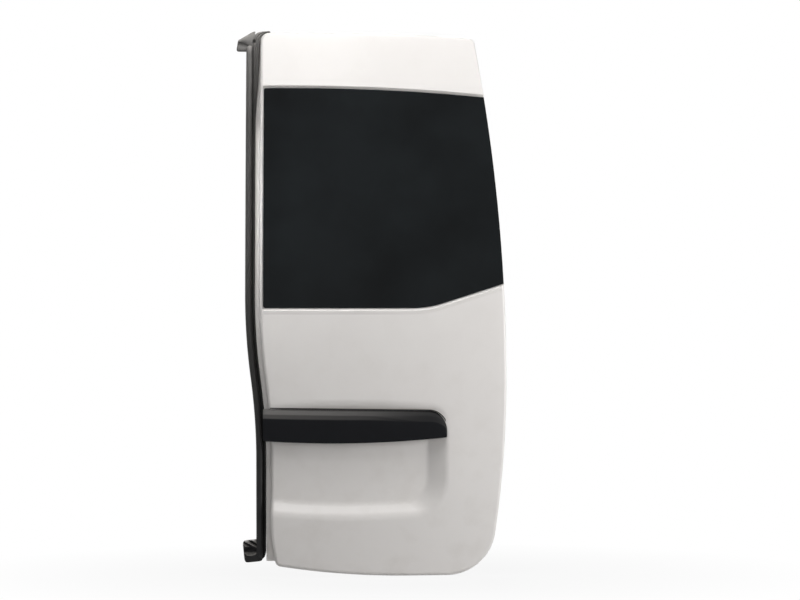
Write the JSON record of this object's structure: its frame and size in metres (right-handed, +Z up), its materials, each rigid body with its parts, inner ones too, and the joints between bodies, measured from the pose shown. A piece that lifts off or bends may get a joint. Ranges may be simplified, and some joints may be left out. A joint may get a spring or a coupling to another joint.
{
  "type": "campervan rear barn door",
  "caption": "Glazed right rear barn door of a small camper van, with a flush dark window to the hinge edge, a recess under a black moulding and a seal on its meeting edge.",
  "frame": {"origin": "middle of the flat lower hinge seat on the hinge side", "axes": "+X to the hinge side, out of the hinge seat; -Y to the outside of the vehicle; +Z up along the door"},
  "size_m": [0.6252, 0.211, 1.2555],
  "materials": {
    "body_paint": "gloss",
    "tinted_glass": "gloss",
    "bead": "matte",
    "strip_plastic": "satin",
    "rubber": "matte",
    "zinc_steel": "satin",
    "latch_steel": "satin",
    "lever_plastic": "matte",
    "lining_plastic": "matte"
  },
  "bodies": {
    "root": {"outer_skin": "body_paint", "inner_panel": "body_paint", "window_frame": "body_paint", "meeting_flange": "body_paint", "window_glass": "tinted_glass", "glass_bead": "bead", "trim_strip": "strip_plastic", "meeting_seal": "rubber", "seal_upper_end": "rubber", "seal_lower_end": "rubber", "trim_strip_gasket": "rubber", "rubber_buffers": "rubber", "hole_plugs": "rubber", "lower_hinge_plate": "zinc_steel", "upper_hinge_plate": "zinc_steel", "check_strap_plate": "zinc_steel", "striker_plate": "zinc_steel", "striker_loop": "zinc_steel", "upper_latch_claw": "zinc_steel", "lower_latch_claw": "zinc_steel", "release_pin": "zinc_steel", "upper_latch_case": "latch_steel", "lower_latch_case": "latch_steel", "release_bezel": "lever_plastic", "release_lever": "lever_plastic", "lining_clips": "lever_plastic", "lining_panel": "lining_plastic"}
  },
  "joints": []
}
